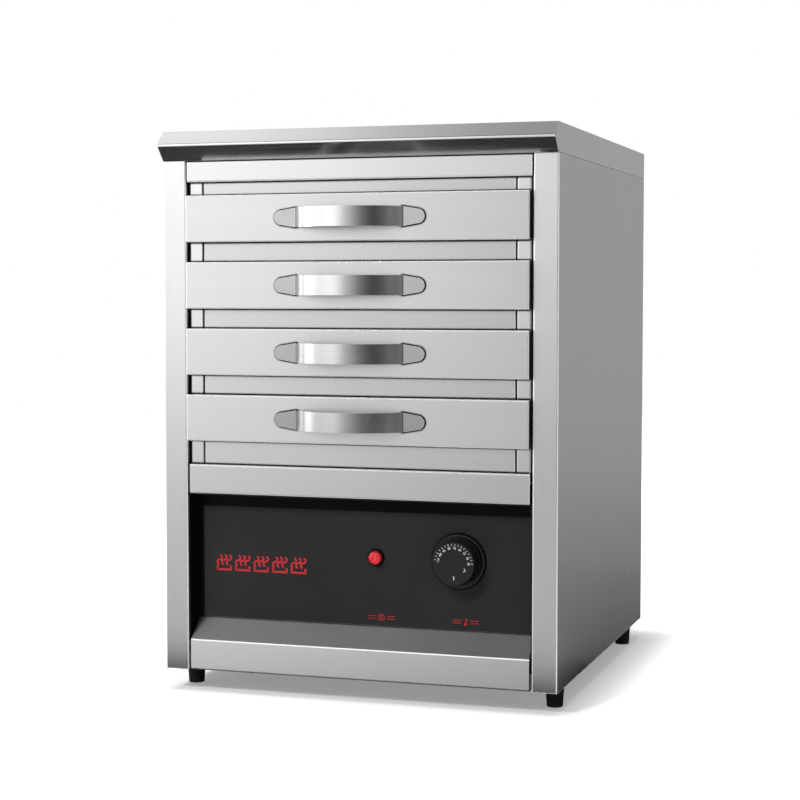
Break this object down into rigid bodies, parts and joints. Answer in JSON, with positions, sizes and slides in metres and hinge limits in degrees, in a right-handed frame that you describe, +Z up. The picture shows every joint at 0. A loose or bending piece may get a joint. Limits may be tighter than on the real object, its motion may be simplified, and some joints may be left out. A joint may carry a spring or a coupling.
{
  "type": "rice noodle roll steamer",
  "caption": "Table-top electric steamer with stacked pull-out steam drawers, a heated water tank, a temperature knob and a pilot lamp.",
  "frame": {"origin": "on the floor, at the middle of the bounding box's underside", "axes": "+X to the user's right, -Y towards the user (drawer faces), +Z up"},
  "size_m": [0.4, 0.5156, 0.555],
  "materials": {
    "brushed_steel": "brushed stainless steel casing sheet",
    "chamber_steel": "mill-finish stainless steel, steam stained",
    "handle_steel": "polished stainless steel strap",
    "galvanised": "galvanised steel base",
    "element_steel": "heat-tinted stainless steel tube",
    "black_paint": "satin black",
    "black_plastic": "satin black plastic",
    "dial_plastic": "glossy black plastic",
    "red_lens": "translucent red lamp lens",
    "white_plastic": "off-white heat-resistant plastic",
    "wire_insulation": "braided glass-fibre insulation",
    "mineral_wool": "pressed mineral wool board",
    "brass": "plated brass fittings",
    "copper": "copper capillary and bulb",
    "chrome": "chromed valve ball",
    "lever_paint": "red dipped steel lever",
    "rubber": "black rubber",
    "zinc_screws": "zinc-plated steel"
  },
  "bodies": {
    "casing": {"top_cap": "brushed_steel", "side_panel_left": "brushed_steel", "side_panel_right": "brushed_steel", "rear_panel": "brushed_steel", "service_cover": "brushed_steel", "base_pan": "galvanised", "top_fascia": "brushed_steel", "lower_fascia": "brushed_steel", "stile_left": "brushed_steel", "stile_right": "brushed_steel", "cross_rails": "brushed_steel", "plinth": "brushed_steel", "control_surround": "black_paint", "control_panel": "black_paint", "chamber_front_frame": "chamber_steel", "chamber_left_wall": "chamber_steel", "chamber_right_wall": "chamber_steel", "chamber_rear_wall": "chamber_steel", "chamber_ceiling": "chamber_steel", "drawer_runners": "chamber_steel", "insulation_boards": "mineral_wool", "water_tank": "chamber_steel", "heating_element": "element_steel", "element_fittings": "brass", "thermostat_body": "black_plastic", "thermostat_probe": "copper", "dial_plate": "dial_plastic", "indicator_bezel": "dial_plastic", "indicator_lens": "red_lens", "indicator_body": "white_plastic", "terminal_block": "white_plastic", "wiring": "wire_insulation", "cable_gland": "black_plastic", "cable_gland_nut": "black_plastic", "drain_pipe": "chamber_steel", "drain_valve_body": "brass", "feet": "rubber", "foot_screws": "zinc_screws", "casing_screws": "zinc_screws"},
    "drawer_1": {"drawer_1_front": "brushed_steel", "drawer_1_back_plate": "chamber_steel", "drawer_1_tray": "chamber_steel", "drawer_1_handle": "handle_steel"},
    "drawer_2": {"drawer_2_front": "brushed_steel", "drawer_2_back_plate": "chamber_steel", "drawer_2_tray": "chamber_steel", "drawer_2_handle": "handle_steel"},
    "drawer_3": {"drawer_3_front": "brushed_steel", "drawer_3_back_plate": "chamber_steel", "drawer_3_tray": "chamber_steel", "drawer_3_handle": "handle_steel"},
    "drawer_4": {"drawer_4_front": "brushed_steel", "drawer_4_back_plate": "chamber_steel", "drawer_4_tray": "chamber_steel", "drawer_4_handle": "handle_steel"},
    "knob": {"temperature_knob": "black_plastic", "knob_shaft": "brushed_steel"},
    "drain_valve": {"drain_ball": "chrome", "drain_lever": "lever_paint"}
  },
  "joints": [
    {"name": "drawer_1_slide", "type": "slide", "parent": "casing", "child": "drawer_1", "axis": [0, -1, 0], "range_m": [0, 0.3]},
    {"name": "drawer_2_slide", "type": "slide", "parent": "casing", "child": "drawer_2", "axis": [0, -1, 0], "range_m": [0, 0.3]},
    {"name": "drawer_3_slide", "type": "slide", "parent": "casing", "child": "drawer_3", "axis": [0, -1, 0], "range_m": [0, 0.3]},
    {"name": "drawer_4_slide", "type": "slide", "parent": "casing", "child": "drawer_4", "axis": [0, -1, 0], "range_m": [0, 0.3]},
    {"name": "knob_turn", "type": "hinge", "parent": "casing", "child": "knob", "pos_m": [0.0988, -0.2222, 0.14], "axis": [0, -1, 0], "range_deg": [-80, 118]},
    {"name": "drain_lever_turn", "type": "hinge", "parent": "casing", "child": "drain_valve", "pos_m": [0.11, 0.2328, 0.2051], "axis": [0, 0, 1], "range_deg": [0, 90]}
  ]
}
